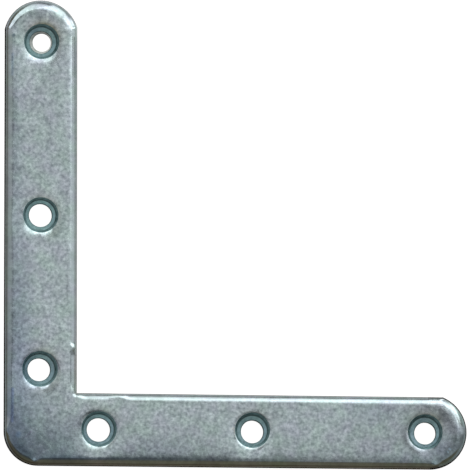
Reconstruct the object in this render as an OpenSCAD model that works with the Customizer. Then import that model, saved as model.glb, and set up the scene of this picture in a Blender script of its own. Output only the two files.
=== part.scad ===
// Flat corner brace: one L-shaped blank of zinc-plated sheet steel with three
// pressed countersinks in each arm. It lies on its back face, front side up,
// with its arms along +X and +Y. All sizes are in millimetres.

/* [Outline] */
// Length of each arm, from the outer side of the other arm to its own tip
arm_length = 100; // [80:1:140]
// Width of each arm
arm_width = 15.5; // [14:0.1:18]
// Thickness of the steel
plate_t = 2; // [1.8:0.1:2.6]
// How much the radius of an arm's rounded end exceeds half the arm's width
end_extra_r = 0.25; // [0.1:0.05:0.6]
// Radius of the outer corner
corner_r = 7.3; // [5:0.1:10]

/* [Pressed edge] */
// Width of the broad roll that the blanking die leaves along the front edge
roll_w = 1.9; // [1.2:0.1:2.4]
// Depth below the front face at which the roll has turned into the upright wall
roll_depth = 0.85; // [0.75:0.05:1]
// Radius of the tight bend between the broad roll and the upright wall
arris_r = 0.6; // [0.3:0.05:0.65]
// Height of the torn band above the back face
torn_h = 0.7; // [0.4:0.05:0.8]
// How far the torn band slopes in under the edge at the back face
torn_in = 0.1; // [0.05:0.05:0.2]

/* [Pinches in the inner roll] */
// Distance from the inner corner to the pinch where two parts of the die meet
inner_pinch = 9.6; // [7:0.1:12]
// Distance from the middle of a pinch to the end of the full roll on each side
pinch_reach = 1.6; // [1.2:0.1:2]
// Radius in which the wall's line turns out of the steel where a run of the roll ends
turn_out_r = 0.4; // [0.3:0.05:0.6]
// Radius of the plain bend that is left in the middle of a pinch
pinch_r = 0.8; // [0.4:0.05:0.8]

/* [Screw holes] */
// Distance from the outer side of the other arm to the first hole
first_hole = 20.4; // [18:0.1:26]
// Distance from the outer side of the other arm to the middle hole
middle_hole = 53.5; // [40:0.5:60]
// Distance from the arm's tip to its end hole
end_hole_margin = 9; // [8:0.1:12]
// Diameter of the hole for the screw's shank
bore_d = 4.8; // [4:0.1:5.2]
// Height of the upright wall of the hole, above the back face
bore_h = 0.6; // [0.4:0.1:0.8]
// Diameter of the countersink's mouth
mouth_d = 7.6; // [7:0.1:8.4]
// Width of the soft lip that the press draws down around the mouth
lip_w = 0.9; // [0.5:0.1:1.2]
// Depth of the soft lip at the mouth
lip_depth = 0.16; // [0.1:0.02:0.2]
// Diameter where the steep band under the mouth meets the screw's seat
seat_d = 6.9; // [6.2:0.1:6.9]
// Depth of the steep band
band_depth = 0.6; // [0.4:0.05:0.7]

/* [Hidden] */
$fn = 48;
// How far a cutter runs past the steel
past = 1;
// How far the cutter of a pinch runs into the full roll
overlap = 0.1;
end_r = arm_width / 2 + end_extra_r;
end_centre = [arm_width / 2, arm_length - end_r];
hole_places = [first_hole, middle_hole, arm_length - end_hole_margin];
// Radius of the broad roll: level at the front face, and touching the tight bend
broad_r = ((roll_w - arris_r) ^ 2 + roll_depth ^ 2 - arris_r ^ 2) / (2 * (roll_depth - arris_r));
// Distance from the wall at which the two arcs of the roll touch
touch = roll_w - broad_r * (roll_w - arris_r) / (broad_r - arris_r);

// Sections of what the press takes off an edge: the wall is at x = 0, the steel at x > 0
module rolled() {
    difference() {
        translate([-past, plate_t - roll_depth]) square([roll_w + past, roll_depth + past]);
        translate([arris_r, plate_t - roll_depth]) circle(arris_r);
        intersection() {
            translate([roll_w, plate_t - broad_r]) circle(broad_r);
            translate([touch, 0]) square([roll_w, plate_t]);
        }
    }
}

module pinched() {
    difference() {
        translate([-past, plate_t - pinch_r]) square([pinch_r + past, pinch_r + past]);
        translate([pinch_r, plate_t - pinch_r]) circle(pinch_r);
    }
}

module torn() {
    slope = torn_in / torn_h;
    polygon([[-past, -past], [torn_in + slope * past, -past], [0, torn_h], [-past, torn_h]]);
}

// Carries a section along a straight wall that runs from the origin along +Y
module along(length) {
    translate([0, length, 0]) rotate([90, 0, 0]) linear_extrude(length) children();
}

// Carries a section round the outside of a rounded wall that is centred on the origin
module around(r, from, turn) {
    rotate([0, 0, from]) rotate_extrude(angle = turn) translate([r, 0]) mirror([1, 0]) children();
}

// Turns a section about a corner of the wall, at the origin
module about_corner(from, turn) {
    rotate([0, 0, from]) rotate_extrude(angle = turn) intersection() {
        children();
        translate([0, -past]) square([roll_w + past, plate_t + 2 * past]);
    }
}

// Ends a run of the roll: it turns out of the steel about a point beyond the wall
module run_end(from) {
    rotate([0, 0, from]) rotate_extrude(angle = 90) translate([turn_out_r, 0]) intersection() {
        rolled();
        translate([-turn_out_r / 2, 0]) square([roll_w + past, plate_t + past]);
    }
}

// Outline of the arm that runs along +Y
module arm_outline() {
    translate([0, corner_r]) square([arm_width, end_centre.y - corner_r]);
    intersection() {
        translate(end_centre) circle(end_r);
        translate([0, end_centre.y]) square([arm_width, end_r]);
    }
}

module plate_outline() {
    arm_outline();
    mirror([1, -1]) arm_outline();
    translate([corner_r, corner_r]) circle(corner_r);
}

// Waste of the inner side, drawn with the inner corner at the origin
module inner_side_waste() {
    along(arm_length) torn();
    about_corner(-90, 90) torn();
    about_corner(-90, 90) rolled();
    along(inner_pinch - pinch_reach) rolled();
    translate([-turn_out_r, inner_pinch - pinch_reach, 0]) run_end(0);
    translate([0, inner_pinch + pinch_reach, 0]) along(arm_length) rolled();
    translate([-turn_out_r, inner_pinch + pinch_reach, 0]) run_end(-90);
    translate([0, inner_pinch - pinch_reach - overlap, 0])
        along(2 * (pinch_reach + overlap)) pinched();
}

module arm_waste() {
    translate([0, corner_r, 0]) along(arm_length) {
        rolled();
        torn();
    }
    translate([arm_width, arm_width, 0]) mirror([1, 0, 0]) inner_side_waste();
    translate(end_centre) around(end_r, 0, 180) {
        rolled();
        torn();
    }
}

// Radius of an arc of width w and depth d that starts level
function level_arc_r(w, d) = (w * w + d * d) / (2 * d);

// Waste of one countersunk hole, centred on the origin
module hole_waste() {
    lip_r = level_arc_r(lip_w, lip_depth);
    mouth_z = plate_t - lip_depth;
    rotate_extrude() {
        translate([0, -past]) square([bore_d / 2, plate_t + past]);
        polygon([[0, bore_h], [bore_d / 2, bore_h], [seat_d / 2, mouth_z - band_depth],
            [mouth_d / 2, mouth_z], [0, mouth_z]]);
        difference() {
            translate([0, mouth_z]) square([mouth_d / 2 + lip_w, lip_depth + past]);
            translate([mouth_d / 2 + lip_w, plate_t - lip_r]) circle(lip_r);
        }
    }
}

module brace_plate() {
    color("silver")
    translate([-arm_length / 2, -arm_length / 2, 0])
    difference() {
        linear_extrude(plate_t) plate_outline();
        arm_waste();
        mirror([1, -1, 0]) arm_waste();
        translate([corner_r, corner_r, 0]) around(corner_r, 180, 90) {
            rolled();
            torn();
        }
        for (place = hole_places) {
            translate([arm_width / 2, place, 0]) hole_waste();
            translate([place, arm_width / 2, 0]) hole_waste();
        }
    }
}

brace_plate();
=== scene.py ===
import math
from collections import namedtuple

import bmesh
import bpy
import numpy as np
from mathutils import Matrix, Vector, geometry, noise


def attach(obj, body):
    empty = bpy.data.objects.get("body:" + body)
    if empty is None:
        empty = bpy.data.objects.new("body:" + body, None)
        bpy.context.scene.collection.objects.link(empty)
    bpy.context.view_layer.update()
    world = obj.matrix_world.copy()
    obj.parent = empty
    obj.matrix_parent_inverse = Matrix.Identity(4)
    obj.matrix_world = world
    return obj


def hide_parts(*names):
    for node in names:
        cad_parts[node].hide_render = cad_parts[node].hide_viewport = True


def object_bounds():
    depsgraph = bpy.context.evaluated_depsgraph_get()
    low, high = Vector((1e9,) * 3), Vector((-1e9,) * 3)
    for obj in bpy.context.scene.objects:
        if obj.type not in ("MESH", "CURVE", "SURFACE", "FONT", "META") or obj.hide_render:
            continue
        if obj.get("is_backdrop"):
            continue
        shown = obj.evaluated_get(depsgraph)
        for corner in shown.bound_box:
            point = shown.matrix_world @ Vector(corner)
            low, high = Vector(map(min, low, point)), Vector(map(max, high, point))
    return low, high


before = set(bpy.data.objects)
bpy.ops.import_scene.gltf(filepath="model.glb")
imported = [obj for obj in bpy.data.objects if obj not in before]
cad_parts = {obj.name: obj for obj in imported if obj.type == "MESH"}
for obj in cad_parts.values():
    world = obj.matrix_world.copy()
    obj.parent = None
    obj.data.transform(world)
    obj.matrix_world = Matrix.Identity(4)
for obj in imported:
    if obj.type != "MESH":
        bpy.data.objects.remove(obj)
cad_low, cad_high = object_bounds()

# The blank: one L of 2 mm sheet steel, stamped out in a single blow. Its arms are
# equally long, the outer corner is rounded and each arm ends in a slightly flat arc.
# All sizes here are in millimetres, measured from the outer corner of the arms.
MM = 0.001
arm_length = round((cad_high[0] - cad_low[0]) / MM, 1)
plate_t = round((cad_high[2] - cad_low[2]) / MM, 1)
half_square = arm_length / 2
arm_width = 15.5
corner_r = 7.3
end_r = 8.07
# where the rounded ends begin, and how far the centre of each end's arc sits off its place
end_start = arm_length - 8.0
upright_end_off = (0.04, 0.02)
flat_end_off = (0.07, 0.25)
upright_end = (arm_width / 2 + upright_end_off[0], end_start + upright_end_off[1])
flat_end = (end_start + flat_end_off[0], arm_width / 2 + flat_end_off[1])
# how far the blow spread the two outer sides
spread = 0.06
# stands for a wall that is no neighbour of a point, and keeps a division from failing
far_off = 99.0
tiny = 1e-9


def near_wall(x, y):
    """Distance of points of the plate from the nearest wall, and where that wall faces."""
    none = np.full(x.shape, far_off)
    flat_x, flat_y = np.zeros(x.shape), np.zeros(x.shape)
    at_corner = (x < corner_r) & (y < corner_r)
    walls = [
        (np.where(~at_corner & (y >= corner_r), x + spread, none), flat_x - 1, flat_y),
        (np.where(~at_corner & (x >= corner_r), y + spread, none), flat_x, flat_y - 1),
        (np.where(y >= arm_width, arm_width - x, none), flat_x + 1, flat_y),
        (np.where(x >= arm_width, arm_width - y, none), flat_x, flat_y + 1),
    ]
    arcs = [
        (corner_r, corner_r, corner_r + spread, at_corner),
        (*upright_end, end_r, y > upright_end[1]),
        (*flat_end, end_r, x > flat_end[0]),
    ]
    for cx, cy, r, here in arcs:
        out = np.maximum(np.hypot(x - cx, y - cy), tiny)
        walls.append((np.where(here, r - out, none), (x - cx) / out, (y - cy) / out))
    out = np.maximum(np.hypot(x - arm_width, y - arm_width), tiny)
    inner = (x < arm_width) & (y < arm_width)
    walls.append((np.where(inner, out, none), (arm_width - x) / out, (arm_width - y) / out))
    nearest = np.array([wall[0] for wall in walls]).argmin(0)[None]
    return [
        np.take_along_axis(np.array([wall[k] for wall in walls]), nearest, 0)[0]
        for k in range(3)
    ]


# The roll: the front edge is drawn down by the die into a broad soft bend, which ends in
# a tight bend at the upright wall. It is pinched thin where two parts of the die meet:
# once on each inner side, at the inner corner, and where a straight side meets an arc.
roll_w = 1.9
roll_depth = 0.85
arris_r = 0.6
# radius of the broad bend, and the distance from the wall at which it meets the tight one
broad_r = ((roll_w - arris_r) ** 2 + roll_depth**2 - arris_r**2) / (2 * (roll_depth - arris_r))
touch = roll_w - broad_r * (roll_w - arris_r) / (broad_r - arris_r)
# width of the roll as a share of roll_w, and its growth to the right, upwards and at the tips
share_middle = 0.99
share_right = 0.22
share_up = 0.03
share_tip = 0.2
upright_tip_lean = 0.2
flat_tip_part = 0.6
# distance of each inner side's pinch from the inner corner
upright_pinch = 9.6
flat_pinch = 9.3
# where the die's parts meet: x, y, how much thinner the roll is there and how far around
meets = [
    (0.0, 7.7, 0.78, 1.5),
    (6.4, 0.0, 0.55, 1.0),
    (0.25, 93.8, 0.45, 1.0),
    (15.3, 93.8, 0.15, 1.0),
    (93.5, 0.1, 0.5, 1.0),
    (arm_width, arm_width + upright_pinch, 0.46, 0.8),
    (arm_width + flat_pinch, arm_width, 0.48, 1.5),
    (arm_width, arm_width, 0.42, 1.3),
]
# the skirt that runs on from the roll into the face: its slope in degrees and its reach
skirt_slope = 1.2
skirt_fade = 0.5
# the longer and steeper tail of that skirt, at the upper right of each rounded end
tail_side = math.radians(42)
tail_power = 4
tail_flat = 1.3
tail_upright = 0.9
tail_slope = 3.0
tail_fade = 0.55


def roll_share(x, y):
    """How broad the roll is, as a share of its usual width."""
    d, face_x, face_y = near_wall(x, y)
    share = share_middle + share_right * face_x + share_up * face_y
    tip = np.where(y > end_start, (face_y + upright_tip_lean) ** 2, 0)
    tip = tip + np.where(x > end_start, flat_tip_part * face_x**2, 0)
    share = share * (1 + share_tip * tip)
    foot_x, foot_y = x + face_x * d, y + face_y * d
    for meet_x, meet_y, much, reach in meets:
        away = np.hypot(foot_x - meet_x, foot_y - meet_y)
        share = share * (1 - much * np.exp(-((away / reach) ** 2)))
    return share


def tip_tail(x, y):
    """How strong the tail of the skirt is: it lies at the upper right of a rounded end."""
    _, face_x, face_y = near_wall(x, y)
    toward = np.clip(face_x * math.cos(tail_side) + face_y * math.sin(tail_side), 0, 1)
    much = np.where(x > end_start, tail_flat, np.where(y > end_start, tail_upright, 0.0))
    return toward**tail_power * much


def skirt_lean(x, y):
    """Slope of the skirt where it leaves the roll, in radians."""
    return np.radians(skirt_slope + tail_slope * tip_tail(x, y))


def roll_drop(x, y, d):
    """How far the rolled edge is drawn down at a distance d from the wall: the broad bend
    ends where its slope is down to that of the skirt, which goes on from there."""
    share = roll_share(x, y)
    lean = skirt_lean(x, y)
    run = touch + (np.maximum(d, touch) - touch) / share
    rest = np.maximum(roll_w - run, broad_r * np.sin(lean))
    broad = share * (broad_r * np.cos(lean) - np.sqrt(broad_r**2 - rest**2))
    tight = arris_r - np.sqrt(np.maximum(arris_r**2 - (arris_r - np.minimum(d, touch)) ** 2, 0))
    foot = arris_r - math.sqrt(arris_r**2 - (arris_r - touch) ** 2)
    return broad + np.where(d < touch, tight - foot, 0)


def skirt_drop(x, y, d):
    """How far the skirt lies below the face at a distance d from the wall."""
    lean = skirt_lean(x, y)
    end = touch + (roll_w - touch - broad_r * np.sin(lean)) * roll_share(x, y)
    fade = skirt_fade + tail_fade * tip_tail(x, y)
    return np.tan(lean) * fade * np.exp(-np.maximum(d - end, 0) / fade)


# The screw holes: three in each arm, pierced and then countersunk by a punch, which
# leaves a steep dark band under the mouth and a shallow seat for the screw's head. The
# punch came down a little askew, so it drew the lip in deeper on the lower left side.
first_hole = 20.4
middle_hole = 53.5
end_hole = arm_length - 9.0
hole_lane = arm_width / 2
bore_h = 0.6
mouth_r = 3.8
seat_r = 3.45
lip_depth = 0.16
band_depth = 0.6
# slope of the lip in degrees and its reach, and what both gain towards its deepest side
lip_side = math.radians(245)
lip_power = 1.5
lip_slope = 3.5
lip_slope_more = 9.5
lip_fade = 0.38
lip_fade_more = 0.27
# place of the mouth, how far the bore sits off it, radius of the bore, how strongly and
# how far out the lip is drawn, how much painted shade lies above and to the right of the hole, how
# much painted highlight the left and the lower right of the lip get, and whether the bore is torn
# at the back
Hole = namedtuple("Hole", "x y bore_x bore_y bore_r lip lip_reach dirt rub shine torn")
holes = [
    Hole(hole_lane - 0.2, first_hole + 0.11, -0.1, -0.05, 2.43, 1.0, 1.2, 1.0, 0.15, 0.35, 0),
    Hole(hole_lane - 0.1, middle_hole + 0.08, 0.06, 0.06, 2.48, 0.78, 1.6, 0.8, 0.0, 0.3, 0),
    Hole(hole_lane, end_hole + 0.09, -0.05, -0.06, 2.4, 0.6, 2.0, 2.0, 0.0, 0.05, 1),
    Hole(first_hole - 0.17, hole_lane + 0.05, 0.04, -0.06, 2.52, 1.0, 1.0, 0.8, 0.45, 0.45, 0),
    Hole(middle_hole - 0.17, hole_lane + 0.15, 0.14, -0.23, 2.44, 0.85, 0.9, 0.7, 0.5, 0.35, 0),
    Hole(end_hole - 0.07, hole_lane + 0.19, 0.2, -0.22, 2.36, 0.66, 0.8, 1.3, 0.2, -0.3, 0),
]


def hole_pull(x, y):
    """How far the punch drew the front face down around the holes."""
    total = np.zeros(np.shape(x))
    for hole in holes:
        out = np.hypot(x - hole.x, y - hole.y)
        lean = np.cos(np.arctan2(y - hole.y, x - hole.x) - lip_side)
        slope = np.tan(np.radians(lip_slope + lip_slope_more * ((1 + lean) / 2) ** lip_power))
        fade = hole.lip_reach * (lip_fade + lip_fade_more * (1 + lean))
        total = total + hole.lip * slope * fade * np.exp(-np.maximum(out - mouth_r, 0) / fade)
    return total


# The front face: the sheet is not quite flat. The outer corner bows down under the blow
# of the press, which also leaves a faint wave all over.
bow_depth = 0.28
bow_reach = 11.5
wave_height = 0.012
wave_length = 9.0
# the level at which the wave is cut from the noise
wave_level = 0.3


def pressed_height(points, d):
    """Height that the press left the front at, for points a distance d from the wall."""
    x, y = points.T
    bow = bow_depth * np.exp(-((np.hypot(x, y) / bow_reach) ** 2))
    return plate_t - (roll_drop(x, y, d) + skirt_drop(x, y, d) + bow + hole_pull(x, y))


def front_height(points, d):
    """The pressed height with the faint wave of the sheet on it."""
    spots = [Vector((px / wave_length, py / wave_length, wave_level)) for px, py in points]
    wave = np.array([noise.noise(spot) for spot in spots]) * wave_height
    return pressed_height(points, d) + wave


# The outline of the plate as a closed row of points: it starts at the outer corner and
# runs along the flat arm, back to the inner corner, up the upright arm and down again.
corner_turns = 60
outer_steps = 210
end_turns = 80
inner_turns = 24
# points of an inner side: evenly spread near the inner corner, close at the pinch
near_reach = 4
near_steps = 21
pinch_span = 3
pinch_step = 0.1
side_step = 0.42
last_gap = 0.4
# about how long an inner side is; it runs on a little past the start of the rounded end
side_past = 2
side_length = end_start + side_past - arm_width


def side_shares(pinch):
    """Places along an inner side, from the inner corner out, as shares of its length."""
    near = np.linspace(0, near_reach, near_steps + 1)[:-1]
    first = np.arange(near_reach, pinch - pinch_span, side_step)
    middle = np.arange(pinch - pinch_span, pinch + pinch_span, pinch_step)
    far = np.arange(pinch + pinch_span, side_length - last_gap / 2, side_step)
    places = np.concatenate([near, first, middle, far])
    return places / (places[-1] + last_gap)


def arc(centre, r, start, stop, steps):
    """Points along an arc, without its last one."""
    turn = np.linspace(start, stop, steps + 1)[:-1]
    return np.stack([centre[0] + r * np.cos(turn), centre[1] + r * np.sin(turn)], 1)


def line(x, y):
    """Points along a straight side, of which either x or y is the same all along."""
    x, y = np.broadcast_arrays(x, y)
    return np.stack([x, y], 1)


def outline(d):
    """The outline of the plate, moved a distance d into the steel."""
    r = end_r - d
    outer = d - spread
    inner = arm_width - d
    low = -math.asin(min((flat_end[1] + spread - d) / r, 1.0))
    high = math.asin(min((inner - flat_end[1]) / r, 1.0))
    right = math.acos(min((inner - upright_end[0]) / r, 1.0))
    left = math.pi - math.acos(min((upright_end[0] + spread - d) / r, 1.0))
    x_low = flat_end[0] + r * math.cos(low)
    x_high = flat_end[0] + r * math.cos(high)
    y_right = upright_end[1] + r * math.sin(right)
    y_left = upright_end[1] + r * math.sin(left)
    flat_side = arm_width + side_shares(flat_pinch)[::-1] * (x_high - arm_width)
    upright_side = arm_width + side_shares(upright_pinch) * (y_right - arm_width)
    corner = (corner_r, corner_r)
    inner_corner = (arm_width, arm_width)
    return np.concatenate([
        arc(corner, corner_r + spread - d, math.pi, 1.5 * math.pi, corner_turns),
        line(np.linspace(corner_r, x_low, outer_steps + 1)[:-1], outer),
        arc(flat_end, r, low, high, end_turns),
        line(np.append(x_high, flat_side[:-1]), inner),
        arc(inner_corner, d, 1.5 * math.pi, math.pi, inner_turns),
        line(inner, upright_side),
        arc(upright_end, r, right, left, end_turns),
        line(outer, np.linspace(y_left, corner_r, outer_steps + 1)[:-1]),
    ])


# The mesh of the plate: closed rings of points run from the back edge up the wall and
# over the roll, rings run down into each hole, and triangles fill the face and the back.
# Each face of the mesh belongs to one of six skins, and each point carries a tone, which
# is a painted shade on the bands and the torn bores of the holes, and 1 elsewhere.
FACE, WALL, BAND, SEAT, BORE, TEAR = range(6)
verts = []
tones = []
faces = []
skin_of = []


def level(points, z):
    """Puts flat points at a height, or each at its own height."""
    z = np.broadcast_to(z, len(points))
    return np.stack([points[:, 0], points[:, 1], z], 1)


def add_points(points, tone=1.0):
    """Adds points to the mesh and tells which number the first of them has."""
    first = len(verts)
    verts.extend([tuple(p) for p in points])
    tones.extend(np.broadcast_to(tone, len(points)))
    return first


def add_strip(lower, upper, count, skin):
    """Joins two closed rings of points; the skin is one for all, or one for each face."""
    skins = np.broadcast_to(skin, count)
    for i in range(count):
        j = (i + 1) % count
        faces.append((lower + i, lower + j, upper + j, upper + i))
        skin_of.append(int(skins[i]))


# the wall is torn at its foot, where it slopes in under the plate
torn_h = 0.7
torn_in = 0.03
torn_middle = 0.4
# how far the dull skin of the wall, a painted shade, reaches over the edge, along the sides and at
# the flat tip
dull_side = 0.15
dull_tip = 0.3
edge = outline(0.0)
back_edge = outline(torn_in)
count = len(edge)
edge_height = pressed_height(edge, np.zeros(count))
wall_rows = [
    (back_edge, 0.0),
    (back_edge * (1 - torn_middle) + edge * torn_middle, torn_h * torn_middle),
    (edge, torn_h),
    (edge, (torn_h + edge_height) / 2),
]
starts = [add_points(level(points, z)) for points, z in wall_rows]
for lower, upper in zip(starts, starts[1:]):
    add_strip(lower, upper, count, WALL)
last = starts[-1]
# distances from the wall of the rings over the roll
roll_steps = [0.0, 0.02, 0.05, 0.09, 0.14, 0.2, 0.28, touch, 0.5, 0.62, 0.76, 0.9, 1.05]
roll_steps += [1.2, 1.35, 1.5, 1.65, 1.8, 1.95, 2.1, 2.25, 2.4, 2.55, 2.75]
for d in roll_steps:
    points = outline(d)
    here = add_points(level(points, front_height(points, np.full(count, d))))
    dull_to = np.where(points[:, 0] > end_start, dull_tip, dull_side)
    add_strip(last, here, count, np.where(d <= dull_to, WALL, FACE))
    last = here
face_edge, face_edge_start = points, last

# rings of a hole: distances from the mouth over the lip, shares of the way down the band
# and down the seat, some of them in a crease, and heights in the bore with the share of
# the tear
hole_turns = 96
lip_steps = (0.7, 0.6, 0.48, 0.38, 0.3, 0.22, 0.15, 0.09, 0.04, 0.0)
band_steps = (0.04, 0.12, 0.3, 0.5, 0.7, 0.9, 1.0)
crease_steps = (0.1, 0.2, 0.95, 1.0)
seat_steps = (0.1, 0.2, 0.3, 0.5, 0.7, 0.85, 0.95, 1.0)
bore_steps = ((0.5, 0.1), (0.3, 0.5), (0.1, 1.0), (0.0, 1.0))
# the torn bore is narrower at the back and off to the right
tear_in = 0.45
tear_off = (0.25, 0.05)
# a painted shade: the band and the torn bore are darkest towards the upper right, on the side that
# faces away from the light
tear_side = math.radians(60)
tone_least = 0.3
band_power = 2.5
turn = np.radians(np.arange(hole_turns) * 360 / hole_turns)
band_tone = tone_least + (1 - tone_least) * ((1 + np.cos(turn - lip_side)) / 2) ** band_power
tear_tone = tone_least + (1 - tone_least) * (1 - np.cos(turn - tear_side)) / 2
seat_z = plate_t - lip_depth - band_depth


def ring(x, y, r):
    """One turn of points around a hole."""
    return np.stack([x + r * np.cos(turn), y + r * np.sin(turn)], 1)


lip_starts = []
lip_rings = []
back_starts = []
back_rings = []
for hole in holes:
    last = None
    for w in lip_steps:
        points = ring(hole.x, hole.y, mouth_r + w)
        mouth_z = front_height(points, near_wall(*points.T)[0])
        here = add_points(level(points, mouth_z))
        if last is None:
            lip_starts.append(here)
            lip_rings.append(points)
        else:
            add_strip(last, here, hole_turns, FACE)
        last = here
    for share in band_steps:
        points = ring(hole.x, hole.y, mouth_r + (seat_r - mouth_r) * share)
        here = add_points(level(points, mouth_z + (seat_z - mouth_z) * share), band_tone)
        add_strip(last, here, hole_turns, BAND)
        last = here
    for share in seat_steps:
        r = seat_r + (hole.bore_r - seat_r) * share
        points = ring(hole.x + hole.bore_x * share, hole.y + hole.bore_y * share, r)
        creased = share in crease_steps
        z = seat_z + (bore_h - seat_z) * share
        here = add_points(level(points, z), band_tone if creased else 1.0)
        add_strip(last, here, hole_turns, BAND if creased else SEAT)
        last = here
    for z, share in bore_steps:
        torn_by = hole.torn * share
        x = hole.x + hole.bore_x + tear_off[0] * torn_by
        y = hole.y + hole.bore_y + tear_off[1] * torn_by
        points = ring(x, y, hole.bore_r - tear_in * torn_by)
        here = add_points(level(points, z), tear_tone if hole.torn else 1.0)
        add_strip(last, here, hole_turns, TEAR if hole.torn else BORE)
        last = here
    back_starts.append(last)
    back_rings.append(points)


def fill(outer, outer_start, ring_starts, rings, loose, loose_start):
    """Triangles between an outer loop, the rings of the holes and loose points in between."""
    flat = [Vector(p) for p in outer]
    index = [outer_start + i for i in range(len(outer))]
    ring_of = [-1] * len(outer)
    edges = [(i, (i + 1) % len(outer)) for i in range(len(outer))]
    for k, (start, points) in enumerate(zip(ring_starts, rings)):
        base = len(flat)
        flat += [Vector(p) for p in points]
        index += [start + i for i in range(len(points))]
        ring_of += [k] * len(points)
        edges += [(base + i, base + (i + 1) % len(points)) for i in range(len(points))]
    flat += [Vector(p) for p in loose]
    index += [loose_start + i for i in range(len(loose))]
    ring_of += [-1] * len(loose)
    found = geometry.delaunay_2d_cdt(flat, edges, [], 1, 1e-6)
    came_from = [source[0] for source in found[3]]
    for triangle in found[2]:
        owners = {ring_of[came_from[i]] for i in triangle}
        # a triangle with all its corners on one hole's ring lies inside that hole
        if len(owners) > 1 or owners == {-1}:
            faces.append(tuple(index[came_from[i]] for i in triangle))
            skin_of.append(FACE)


# loose points of the face, in rows that are shifted by half a step, clear of the rings
grid_step = 0.45
grid_clear = 0.2
row_step = grid_step * math.sqrt(3) / 2
columns = np.arange(0, arm_length, grid_step)
rows = np.arange(0, arm_length, row_step)
grid_x, grid_y = np.meshgrid(columns, rows)
grid_x = grid_x + (np.arange(len(rows)) % 2)[:, None] * grid_step / 2
grid = np.stack([grid_x.ravel(), grid_y.ravel()], 1)
grid = grid[(grid <= arm_width).any(1)]
clear = near_wall(*grid.T)[0] > roll_steps[-1] + grid_clear
for hole in holes:
    out = np.hypot(grid[:, 0] - hole.x, grid[:, 1] - hole.y)
    clear &= out > mouth_r + lip_steps[0] + grid_clear
loose = grid[clear]
loose_start = add_points(level(loose, front_height(loose, near_wall(*loose.T)[0])))
fill(face_edge, face_edge_start, lip_starts, lip_rings, loose, loose_start)
fill(back_edge, starts[0], back_starts, back_rings, [], 0)

# Painted light and shade, and wear: a brown painted shade lies above and to the right of each
# hole, and painted shade darkens the outer corner, the left side and the far end of the flat arm.
# The lips have painted highlights in places, the edges are browner, with painted shade along the
# lower ones, and the roll was burnished smooth.
# painted shade, tinted brown, on the side of each lip that faces away from the light
lip_shade_side = math.radians(70)
lip_painted_fade = 1.1
lip_shade_colour = np.array([0.26, 0.3, 0.36])
# the sides of the lip with painted highlights, and the side of the seat that is darker
lip_highlight_side = math.radians(180)
shine_side = math.radians(315)
shine_fade = 0.5
seat_side = math.radians(140)
seat_darkening = 0.32
# a point within this of a ring counts as on it
hair = 0.01
at = np.array(verts)
# the tone of each point, to which the painted light and shade below are added
tone_and_painted_light = np.repeat(np.array(tones)[:, None], 3, axis=1)


def one_side(turned, side, power):
    """How strongly points on one side of a hole are meant, from 1 down to 0 beside it."""
    return np.clip(np.cos(turned - side), 0, 1) ** power


for hole in holes:
    off_x, off_y = at[:, 0] - hole.x, at[:, 1] - hole.y
    out = np.hypot(off_x, off_y)
    turned = np.arctan2(off_y, off_x)
    past_mouth = np.where(out >= mouth_r - hair, np.maximum(out - mouth_r, 0), np.inf)
    in_seat = (out < seat_r - hair) & (at[:, 2] > bore_h - hair)
    lip_shaded = hole.dirt * one_side(turned, lip_shade_side, 1) * np.exp(-past_mouth / lip_painted_fade)
    # painted highlight on the left of each lip
    lip_highlit = hole.rub * one_side(turned, lip_highlight_side, 2) * np.exp(-past_mouth / lip_painted_fade)
    # painted highlight on the lower right of each lip; a shine below 0 gives painted shade there
    shone = hole.shine * one_side(turned, shine_side, 2) * np.exp(-past_mouth / shine_fade)
    seat_darkened = seat_darkening * one_side(turned, seat_side, 2) * in_seat
    tone_and_painted_light *= 1 - lip_shaded[:, None] * lip_shade_colour
    tone_and_painted_light *= ((1 + lip_highlit) * (1 + shone) * (1 - seat_darkened))[:, None]

# soft patches of painted shade, some of them tinted: the middle x and y, how wide and high, and how
# much red, green and blue they take away; the one that gives light is a painted highlight at the
# upright arm's tip
shades = [
    (97.5, 3.0, 5.0, 5.0, (0.2, 0.16, 0.12)),
    (89.0, 1.5, 9.0, 2.5, (0.12, 0.1, 0.07)),
    (1.0, 1.0, 3.8, 3.8, (0.15, 0.18, 0.2)),
    (12.0, 4.0, 5.5, 6.5, (0.34, 0.31, 0.28)),
    (7.0, 12.5, 3.5, 3.0, (0.15, 0.13, 0.1)),
    (33.0, 3.2, 8.0, 2.5, (0.18, 0.16, 0.14)),
    (79.5, 12.5, 6.0, 3.0, (0.18, 0.16, 0.14)),
    (7.75, 97.0, 4.5, 1.8, (0.2, 0.19, 0.17)),
    (2.2, 62.0, 1.6, 34.0, (0.1, 0.09, 0.06)),
    (100.2, 4.5, 1.4, 5.5, (0.36, 0.36, 0.38)),
    (3.0, 18.0, 3.0, 26.0, (0.3, 0.27, 0.18)),
    # a painted highlight on the roll at the upright arm's tip
    (15.6, 93.4, 0.9, 2.2, (-0.6, -0.6, -0.6)),
    (15.3, 20.5, 0.5, 5.0, (0.08, 0.15, 0.19)),
    (94.2, 4.6, 1.5, 1.5, (0.25, 0.24, 0.22)),
]


def patch(x, y, wide, high):
    """How strongly each point lies in a soft patch, as a column."""
    return np.exp(-(((at[:, 0] - x) / wide) ** 2) - ((at[:, 1] - y) / high) ** 2)[:, None]


for x, y, wide, high, loss in shades:
    tone_and_painted_light *= 1 - patch(x, y, wide, high) * np.array(loss)

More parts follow.
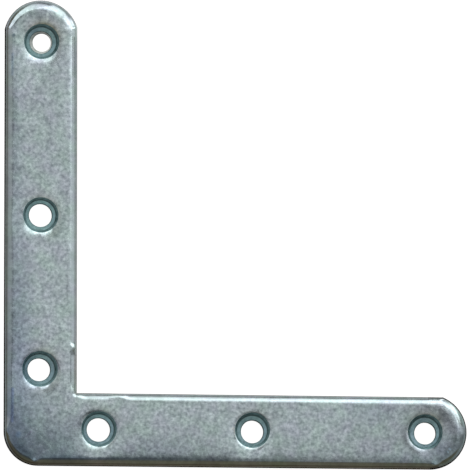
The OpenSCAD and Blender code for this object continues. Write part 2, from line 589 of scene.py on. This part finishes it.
# along the edge: browner all round, and a painted shade where the wall faces down the picture, away
# from the light
edge_shade_side = math.radians(255)
edge_shade_power = 2.2
edge_shade_colour = np.array([0.62, 0.72, 0.8])
edge_brown = np.array([0.02, 0.11, 0.14])
edge_tint_w = 0.62
edge_tint_fade = 0.16
wall_d, face_x, face_y = near_wall(*at[:, :2].T)
toward = (1 + face_x * math.cos(edge_shade_side) + face_y * math.sin(edge_shade_side)) / 2
toward = np.clip(toward, 0, 1)[:, None]
at_edge = np.clip((edge_tint_w - wall_d) / edge_tint_fade, 0, 1)[:, None]
tone_and_painted_light *= 1 - toward**edge_shade_power * at_edge * edge_shade_colour
tone_and_painted_light *= 1 - at_edge * edge_brown

# inside the roll of the outer corner lies a darker ring of painted shade
dark_d = 2.1
dark_w = 0.9
dark_middle = 2.0
dark_reach = 5.0
corner_ring_shade = np.array([0.4, 0.38, 0.32])
in_ring = np.exp(-(((wall_d - dark_d) / dark_w) ** 2))[:, None]
tone_and_painted_light *= 1 - patch(dark_middle, dark_middle, dark_reach, dark_reach) * in_ring * corner_ring_shade

# the burnished strip along the wall keeps only a part of the grain
burnished_w = 0.9
burnished_fade = 0.8
grain_least = 0.3
grain_left = np.clip((wall_d - burnished_w) / burnished_fade, grain_least, 1)

# The plate as one object: its points moved to the shared frame, smooth but for the sharp
# edges of the holes and the wall, with the tints, the painted light and shade and the worn grain
# kept on the points.
sharp_angle = math.radians(38)
middle = np.array([half_square, half_square, 0.0])
plate_mesh = bpy.data.meshes.new("brace")
plate_mesh.from_pydata((at - middle) * MM, [], faces)
plate_mesh.update()
plate = bpy.data.objects.new("brace", plate_mesh)
bpy.context.scene.collection.objects.link(plate)
plate_mesh.polygons.foreach_set("use_smooth", [True] * len(faces))
plate_mesh.polygons.foreach_set("material_index", skin_of)
tone_and_light_layer = plate_mesh.color_attributes.new("tone_and_painted_light", "FLOAT_COLOR", "POINT")
tone_and_light_layer.data.foreach_set("color", np.concatenate([tone_and_painted_light, grain_left[:, None]], 1).ravel())

bm = bmesh.new()
bm.from_mesh(plate_mesh)
bmesh.ops.remove_doubles(bm, verts=bm.verts, dist=1e-7)
bmesh.ops.recalc_face_normals(bm, faces=bm.faces)
bm.to_mesh(plate_mesh)
bm.free()
plate_mesh.set_sharp_from_angle(angle=sharp_angle)

# The zinc skin: a thin bright plating on the stamped steel, faintly blue-green, with a
# fine grain from the bath that breaks up every reflection into light and dark specks.
grain_scale = 1350.0
blotch_scale = 320.0
hue_scale = 240.0
hue_off = 0.031
# how far apart the grain drives the two tones, and where between them a worn surface lies
grain_span = (0.22, 0.78)
worn_middle = 0.5
blotch_span = (0.9, 1.1)
hue_pink = (1.027, 0.967, 1.036)
hue_green = (0.97, 1.02, 0.963)
# the part of a mark's width that has its full tone
mark_core = 0.3


def connect(tree, socket, value):
    """Links an output to a socket, or sets the socket to a plain number or colour."""
    if isinstance(value, bpy.types.NodeSocket):
        tree.links.new(value, socket)
    elif len(socket.default_value) == 4:
        socket.default_value = (*value, 1)
    else:
        socket.default_value = value


def vectors(tree, operation, first, second):
    """The outcome of a sum of two rows of three numbers; colours are such rows too."""
    node = tree.nodes.new("ShaderNodeVectorMath")
    node.operation = operation
    connect(tree, node.inputs[0], first)
    if operation == "SCALE":
        tree.links.new(second, node.inputs["Scale"])
    else:
        connect(tree, node.inputs[1], second)
    return node.outputs["Value" if operation in ("DISTANCE", "DOT_PRODUCT") else "Vector"]


def spot(tree):
    """Where a point lies on the plate, in metres."""
    node = tree.nodes.get("Texture Coordinate") or tree.nodes.new("ShaderNodeTexCoord")
    return node.outputs["Object"]


def grain(tree, scale, detail, roughness, off=0.0):
    """Soft random specks; off moves them, so that two grains don't coincide."""
    node = tree.nodes.new("ShaderNodeTexNoise")
    node.inputs["Scale"].default_value = scale
    node.inputs["Detail"].default_value = detail
    node.inputs["Roughness"].default_value = roughness
    tree.links.new(vectors(tree, "ADD", spot(tree), (off, off, off)), node.inputs["Vector"])
    return node.outputs["Fac"]


def ramp(tree, source, low, high, from_low=0.3, from_high=0.7):
    """Turns a value that runs between two levels into one that runs from low to high."""
    node = tree.nodes.new("ShaderNodeMapRange")
    node.inputs["From Min"].default_value = from_low
    node.inputs["From Max"].default_value = from_high
    node.inputs["To Min"].default_value = low
    node.inputs["To Max"].default_value = high
    tree.links.new(source, node.inputs["Value"])
    return node.outputs["Result"]


def blend(tree, share, first, second):
    """Mixes two colours, each a plain colour or another mix."""
    node = tree.nodes.new("ShaderNodeMix")
    node.data_type = "RGBA"
    tree.links.new(share, node.inputs["Factor"])
    connect(tree, node.inputs["A"], first)
    connect(tree, node.inputs["B"], second)
    return node.outputs["Result"]


def tone_and_painted_light_node(tree):
    """The tints, painted light and painted shade that the points of the mesh carry."""
    node = tree.nodes.new("ShaderNodeAttribute")
    node.attribute_name = "tone_and_painted_light"
    return node


def mark(tree, colour, x0, y0, x1, y1, wide, tone):
    """A scratch, a speck or a painted highlight: a short line from one point to another that
    changes the tone.
    """
    start = ((x0 - half_square) * MM, (y0 - half_square) * MM, plate_t * MM)
    run = ((x1 - x0) * MM, (y1 - y0) * MM, 0.0)
    size = run[0] ** 2 + run[1] ** 2
    from_start = vectors(tree, "SUBTRACT", spot(tree), start)
    along = vectors(tree, "DOT_PRODUCT", from_start, (run[0] / size, run[1] / size, 0.0))
    nearest = vectors(tree, "SCALE", run, ramp(tree, along, 0.0, 1.0, 0.0, 1.0))
    away = vectors(tree, "DISTANCE", from_start, nearest)
    inside = ramp(tree, away, 1.0, 0.0, wide * MM * mark_core, wide * MM)
    return vectors(tree, "MULTIPLY", colour, blend(tree, inside, (1.0, 1.0, 1.0), tone))


def metal(name):
    """A bare metal, its node tree and its shader."""
    paint = bpy.data.materials.new(name)
    paint.use_nodes = True
    shader = paint.node_tree.nodes["Principled BSDF"]
    shader.inputs["Metallic"].default_value = 1.0
    return paint, paint.node_tree, shader


def speckled(name, dark, light, roughness, depth, marks_and_highlights=()):
    """A zinc surface between two tones, with grain, blotches and a fine bump."""
    paint, tree, shader = metal(name)
    fine = grain(tree, grain_scale, 2.0, 0.6)
    blotch = grain(tree, blotch_scale, 2.0, 0.5)
    hue = grain(tree, hue_scale, 1.0, 0.5, hue_off)
    painted_light_attr = tone_and_painted_light_node(tree)
    worn = tree.nodes.new("ShaderNodeMix")
    worn.inputs["A"].default_value = worn_middle
    tree.links.new(painted_light_attr.outputs["Alpha"], worn.inputs["Factor"])
    tree.links.new(ramp(tree, fine, 0.0, 1.0, *grain_span), worn.inputs["B"])
    base = blend(tree, worn.outputs["Result"], dark, light)
    tint = blend(tree, ramp(tree, hue, 0.0, 1.0), hue_pink, hue_green)
    tinted = vectors(tree, "MULTIPLY", base, tint)
    cloudy = vectors(tree, "SCALE", tinted, ramp(tree, blotch, *blotch_span))
    colour = vectors(tree, "MULTIPLY", cloudy, painted_light_attr.outputs["Color"])
    for each_mark in marks_and_highlights:
        colour = mark(tree, colour, *each_mark)
    tree.links.new(colour, shader.inputs["Base Color"])
    tree.links.new(ramp(tree, blotch, *roughness), shader.inputs["Roughness"])
    bump = tree.nodes.new("ShaderNodeBump")
    bump.inputs["Strength"].default_value = 1.0
    bump.inputs["Distance"].default_value = depth
    tree.links.new(fine, bump.inputs["Height"])
    tree.links.new(bump.outputs["Normal"], shader.inputs["Normal"])
    return paint


# scratches, specks and nicks of the face, and two painted highlights: from (x, y) to (x, y), width,
# change of tone
marks = [
    (54.6, 12.06, 55, 10.56, 0.22, (0.62, 0.62, 0.62)),
    (12.7, 44.06, 12.7, 44.16, 0.35, (1.5, 1.5, 1.45)),
    (1.6, 29.06, 3.3, 29.06, 0.2, (1.35, 1.35, 1.35)),
    (1.6, 92.26, 1.7, 92.36, 0.5, (0.45, 0.5, 0.55)),
    (4.4, 5.86, 5.7, 7.16, 0.25, (0.95, 0.72, 0.9)),
    (2.9, 6.36, 3, 6.56, 0.8, (1.05, 1.15, 1.3)),
    # the next two bright specks are painted highlights, where the roll is pinched thin at the ends
    # of the lower side
    (6.3, 1.16, 6.4, 1.26, 0.45, (2.2, 2.3, 2.3)),
    (92.8, 1.26, 93, 1.36, 0.7, (1.9, 2.0, 2.0)),
    (96.2, 4.36, 96.4, 4.26, 0.35, (1.5, 1.6, 1.7)),
    (95.8, 3.76, 95.9, 3.66, 0.3, (1.4, 1.5, 1.6)),
    (8.95, 97.16, 9, 95.96, 0.4, (1.3, 1.3, 1.25)),
    (1.65, 16.16, 1.6, 9.36, 0.5, (0.78, 0.84, 1.05)),
    (1.45, 88.26, 1.4, 83.76, 0.4, (0.8, 0.86, 0.95)),
]
zinc_dark = (0.265, 0.34, 0.365)
zinc_light = (0.77, 0.93, 0.96)
zinc = speckled("zinc skin", zinc_dark, zinc_light, (0.09, 0.14), 0.000004, marks)

# The cut edge: the wall that the punch sheared, burnished above and torn below, dull and
# much darker than the face, a painted shade that also covers the steepest strip of the roll.
streak_scale = 900.0


def dull(name, dark, light, roughness, edge_on):
    """A dull metal between two tones; edge_on is how much it shines when seen along it."""
    paint, tree, shader = metal(name)
    shader.inputs["Specular Tint"].default_value = (*edge_on, 1)
    shader.inputs["Roughness"].default_value = roughness
    streak = ramp(tree, grain(tree, streak_scale, 3.0, 0.6), 0.0, 1.0)
    base = blend(tree, streak, dark, light)
    colour = vectors(tree, "MULTIPLY", base, tone_and_painted_light_node(tree).outputs["Color"])
    tree.links.new(colour, shader.inputs["Base Color"])
    return paint


cut = dull("cut edge", (0.02, 0.018, 0.014), (0.042, 0.04, 0.033), 0.5, (0.03, 0.028, 0.024))

# The skins of the holes: the steep band of each countersink and the crease at its foot
# have a dark dull skin, a painted shade. The seat is a little greener than
# the face, the bore was left rough by the punch, and the torn bore is bright.
band = dull("countersink band", (0.18, 0.3, 0.31), (0.4, 0.6, 0.62), 0.4, (0.25, 0.3, 0.3))
seat = speckled("countersink seat", (0.27, 0.41, 0.44), (0.52, 0.73, 0.77), (0.26, 0.34), 0.00001)
bore = dull("bore wall", (0.05, 0.055, 0.055), (0.16, 0.17, 0.165), 0.5, (0.1, 0.1, 0.1))
tear = dull("torn bore", (0.62, 0.66, 0.63), (0.92, 0.95, 0.92), 0.5, (1.0, 1.0, 1.0))

for skin in (zinc, cut, band, seat, bore, tear):
    plate_mesh.materials.append(skin)
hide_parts("brace_plate")
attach(plate, "root")

# The table top that the brace lies on: a plain white board, seen white by the camera
# and in the metal, with the soft shadow of the brace on it.
board_reach = 3.0
board_below = -0.00005
board_grey = 0.4
board_glow = 0.93


def sheet(name, x_span, y_span, height):
    """A level rectangle of the studio."""
    mesh = bpy.data.meshes.new(name)
    (x0, x1), (y0, y1) = x_span, y_span
    corners = [(x0, y0, height), (x1, y0, height), (x1, y1, height), (x0, y1, height)]
    mesh.from_pydata(corners, [], [(0, 1, 2, 3)])
    thing = bpy.data.objects.new(name, mesh)
    bpy.context.scene.collection.objects.link(thing)
    paint = bpy.data.materials.new(name)
    paint.use_nodes = True
    paint.node_tree.nodes.clear()
    mesh.materials.append(paint)
    return thing, paint.node_tree


def numbers(tree, operation, first, second):
    """The sum or product of two numbers."""
    node = tree.nodes.new("ShaderNodeMath")
    node.operation = operation
    tree.links.new(first, node.inputs[0])
    if isinstance(second, float):
        node.inputs[1].default_value = second
    else:
        tree.links.new(second, node.inputs[1])
    return node.outputs[0]


board_span = (-board_reach, board_reach)
board, tree = sheet("table", board_span, board_span, board_below)
plain = tree.nodes.new("ShaderNodeBsdfDiffuse")
plain.inputs["Color"].default_value = (board_grey, board_grey, board_grey, 1)
rays = tree.nodes.new("ShaderNodeLightPath").outputs
seen = numbers(tree, "ADD", rays["Is Camera Ray"], rays["Is Glossy Ray"])
seen = numbers(tree, "ADD", seen, rays["Is Transmission Ray"])
glow = tree.nodes.new("ShaderNodeEmission")
tree.links.new(numbers(tree, "MULTIPLY", seen, board_glow), glow.inputs["Strength"])
both = tree.nodes.new("ShaderNodeAddShader")
tree.links.new(plain.outputs[0], both.inputs[0])
tree.links.new(glow.outputs[0], both.inputs[1])
end = tree.nodes.new("ShaderNodeOutputMaterial")
tree.links.new(both.outputs[0], end.inputs["Surface"])
board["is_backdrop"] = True

# The room: dim overhead and paler towards the horizon, most of all beyond the top right
# of the picture. The metal mirrors it wherever no panel hangs.
pale_side = (0.6, 0.8, 0.0)
pale_span = (-0.35, 0.35)
sky_span = (0.6, 0.8)
top_span = (0.95, 0.985)
horizon_dim = (0.38, 0.43, 0.43)
horizon_pale = (0.52, 0.57, 0.57)
top_round = (0.155, 0.127, 0.086)
top_middle = (0.078, 0.081, 0.09)
room = bpy.data.worlds.new("room")
bpy.context.scene.world = room
room.use_nodes = True
tree = room.node_tree
way = tree.nodes.new("ShaderNodeTexCoord").outputs["Generated"]
split = tree.nodes.new("ShaderNodeSeparateXYZ")
tree.links.new(way, split.inputs[0])
up = split.outputs["Z"]
to_pale = ramp(tree, vectors(tree, "DOT_PRODUCT", way, pale_side), 0.0, 1.0, *pale_span)
horizon = blend(tree, to_pale, horizon_dim, horizon_pale)
top = blend(tree, ramp(tree, up, 0.0, 1.0, *top_span), top_round, top_middle)
sky = blend(tree, ramp(tree, up, 0.0, 1.0, *sky_span), horizon, top)
tree.links.new(sky, tree.nodes["Background"].inputs["Color"])

# The studio lights: soft panels hang level over the table. Near ones in the shape of the
# brace fill its face, a broad bright one towards the top of the picture lights its rolled
# edges, and dimmer ones hang at the sides. The camera doesn't see them.
panel_white = (1.02, 0.99, 0.98)
# the colours that fade along a panel stay below 1, so the light is scaled up again
strength_scale = 2.0


def panel(name, x_span, y_span, height, steps, along="Y", colour=panel_white, turned=0.0):
    """A glowing panel that hangs level; steps are (place, strength) along Y or X."""
    thing, tree = sheet(name, x_span, y_span, height)
    spots = tree.nodes.new("ShaderNodeTexCoord")
    axes = tree.nodes.new("ShaderNodeSeparateXYZ")
    tree.links.new(spots.outputs["Object"], axes.inputs[0])
    first, last = steps[0][0], steps[-1][0]
    fall = tree.nodes.new("ShaderNodeValToRGB")
    tree.links.new(ramp(tree, axes.outputs[along], 0.0, 1.0, first, last), fall.inputs["Fac"])
    stops = fall.color_ramp.elements
    for place, strength in steps[1:-1]:
        stops.new((place - first) / (last - first))
    for stop, (place, strength) in zip(stops, steps):
        stop.color = (*[strength / strength_scale * c for c in colour], 1)
    shine = tree.nodes.new("ShaderNodeEmission")
    shine.inputs["Strength"].default_value = strength_scale
    tree.links.new(fall.outputs["Color"], shine.inputs["Color"])
    end = tree.nodes.new("ShaderNodeOutputMaterial")
    tree.links.new(shine.outputs[0], end.inputs["Surface"])
    thing.rotation_euler = (0.0, 0.0, math.radians(turned))
    thing.visible_camera = False
    thing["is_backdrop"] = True


# near panels over the face: evenly bright, dimmer over the outer corner and the flat tip
near_h = 0.3
over_tone = 0.62
bend_low, bend_high = -0.0265, 0.012
far_side = 0.13
over_upright = ((bend_high, over_tone), (far_side, over_tone))
over_bend = ((bend_low, over_tone), (bend_high, over_tone))
over_corner = ((-0.06, 0.24), (0.002, 0.26))
over_flat = (
    (0.018, over_tone),
    (0.078, over_tone),
    (0.093, 0.58),
    (0.101, 0.42),
    (0.108, 0.24),
    (far_side, 0.2),
)
corner_blue = (0.93, 1.0, 1.12)
panel("panel_over_upright", (-0.022, 0.0095), (bend_high, far_side), near_h, over_upright)
panel("panel_over_bend", (-0.022, 0.018), (bend_low, bend_high), near_h, over_bend)
panel("panel_over_corner", (-0.06, 0.002), (-0.06, bend_low), near_h, over_corner, "X", corner_blue)
panel("panel_over_flat", (0.018, far_side), (bend_low, bend_high), near_h, over_flat, "X")

# the bright panels towards the top of the picture, turned with it
top_h = 1.4
top_turn = -30
top_steps = (
    (0.33, 0.63),
    (0.42, 0.8),
    (0.48, 0.98),
    (0.54, 1.3),
    (0.6, 1.6),
    (0.68, 1.85),
    (0.9, 1.85),
    (1.25, 1.75),
    (1.45, 1.5),
    (1.6, 0.9),
    (1.75, 0.3),
)
edge_steps = (
    (0.36, 0.55),
    (0.48, 0.8),
    (0.55, 1.1),
    (0.62, 1.6),
    (0.7, 1.85),
    (0.9, 1.85),
    (1.1, 1.6),
    (1.3, 1.1),
    (1.6, 0.4),
)
top_left_steps = (
    (0.12, 0.6),
    (0.2, 0.82),
    (0.35, 1.35),
    (0.6, 1.6),
    (0.9, 1.3),
    (1.1, 1.0),
    (1.25, 0.5),
    (1.4, 0.2),
    (1.6, 0.1),
)
top_right_steps = ((0.8, 1.2), (0.95, 1.85), (1.5, 1.85), (1.8, 1.0))
panel("panel_top", (-0.2, 0.25), (0.33, 1.75), top_h, top_steps, turned=top_turn)
panel("panel_top_edge", (0.25, 0.5), (0.36, 1.6), top_h, edge_steps, turned=top_turn)
panel("panel_top_left", (-0.8, -0.2), (0.12, 1.6), top_h, top_left_steps, turned=top_turn)
panel("panel_top_right", (0.5, 0.75), (0.8, 1.8), top_h, top_right_steps, turned=top_turn)

# the dimmer panels at the sides
side_h = 1.41
between_h = 1.43
left_h = 0.7
right_steps = (
    (0.26, 0.58),
    (0.386, 0.62),
    (0.526, 0.64),
    (0.694, 0.68),
    (0.89, 0.72),
    (1.156, 0.7),
    (1.4, 0.55),
    (1.7, 0.4),
    (2.6, 0.3),
)
low_right_steps = ((0.22, 0.26), (0.3, 0.3), (0.6, 0.36), (1.0, 0.28), (1.6, 0.2))
left_steps = (
    (-0.6, 0.2),
    (-0.39, 0.36),
    (-0.284, 0.44),
    (-0.2, 0.46),
    (-0.109, 0.46),
    (-0.04, 0.46),
    (-0.003, 0.46),
)
low_left_part = 0.7
low_left_steps = [(place, strength * low_left_part) for place, strength in left_steps]
left_warm = (1.02, 0.98, 0.94)
left_blue = (0.95, 0.98, 1.06)
panel("panel_between", (0.17, 0.36), (0.13, 0.4), between_h, ((0.13, 0.6), (0.4, 0.62)))
panel("panel_right", (0.26, 2.6), (0.1, 0.32), side_h, right_steps, "X")
panel("panel_low_right", (0.22, 1.6), (-0.3, 0.1), side_h, low_right_steps, "X")
panel("panel_left", (-0.6, -0.003), (0.02, 0.18), left_h, left_steps, "X", left_warm)
panel("panel_low_left", (-0.6, -0.03), (-0.12, 0.02), left_h, low_left_steps, "X", left_blue)

# The camera stands 1.2 m over the brace and leans a little to the lower left of it,
# with a long lens, so the arms stay almost square in the picture.
distance = 1.2
lean_x = math.radians(-6.87)
lean_y = math.radians(8.66)
lean_z = math.radians(-0.93)
# how far the middle of the picture is off the middle of the square between the arms
aim_off = (-0.0000818, 0.0001635)
pixels_per_mm = 4.647
picture_pixels = 470
sensor = 36.0
camera_data = bpy.data.cameras.new("camera")
camera = bpy.data.objects.new("camera", camera_data)
bpy.context.scene.collection.objects.link(camera)
turn_xy = Matrix.Rotation(lean_y, 3, "Y") @ Matrix.Rotation(lean_x, 3, "X")
turn_all = Matrix.Rotation(lean_z, 3, "Z") @ turn_xy
back_off = Matrix.Translation((*aim_off, distance))
camera.matrix_world = turn_all.transposed().to_4x4() @ back_off
camera_data.sensor_width = sensor
camera_data.lens = sensor * pixels_per_mm * (distance / MM) / picture_pixels
camera_data.clip_start = 0.01
camera_data.clip_end = 50
bpy.context.scene.camera = camera
bpy.context.scene.view_settings.view_transform = "Standard"

low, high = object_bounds()
